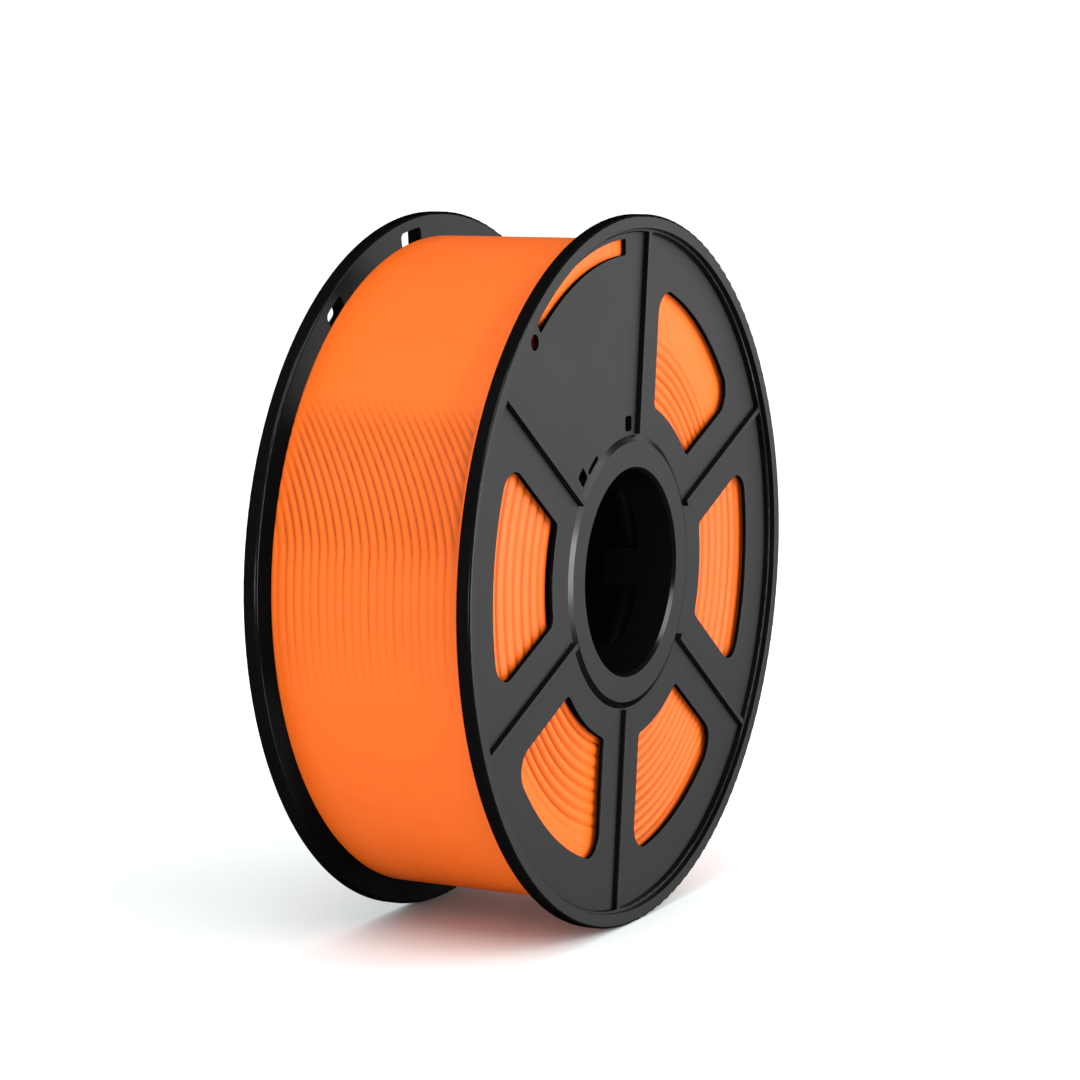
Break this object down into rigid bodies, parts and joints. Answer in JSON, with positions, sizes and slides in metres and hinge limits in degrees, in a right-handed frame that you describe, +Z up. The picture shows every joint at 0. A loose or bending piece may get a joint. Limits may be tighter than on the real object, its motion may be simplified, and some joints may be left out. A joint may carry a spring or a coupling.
{
  "type": "filament spool",
  "caption": "Full spool of 3D printer filament: ribbed, windowed flanges on a hollow core, with a wide bore that turns on a spindle.",
  "frame": {"origin": "middle of the spool's axis, half way between the two rim lips", "axes": "+Y along the spool's axis from the label side to the plain side, +Z up"},
  "size_m": [0.2, 0.0682, 0.2],
  "materials": {
    "spool_plastic": "glossy black injection moulding",
    "filament": "satin orange extruded filament"
  },
  "bodies": {
    "root": {"front_flange": "spool_plastic", "rear_flange": "spool_plastic", "winding_core": "spool_plastic", "front_hub_collar": "spool_plastic", "rear_hub_collar": "spool_plastic", "filament_winding": "filament"}
  },
  "joints": []
}
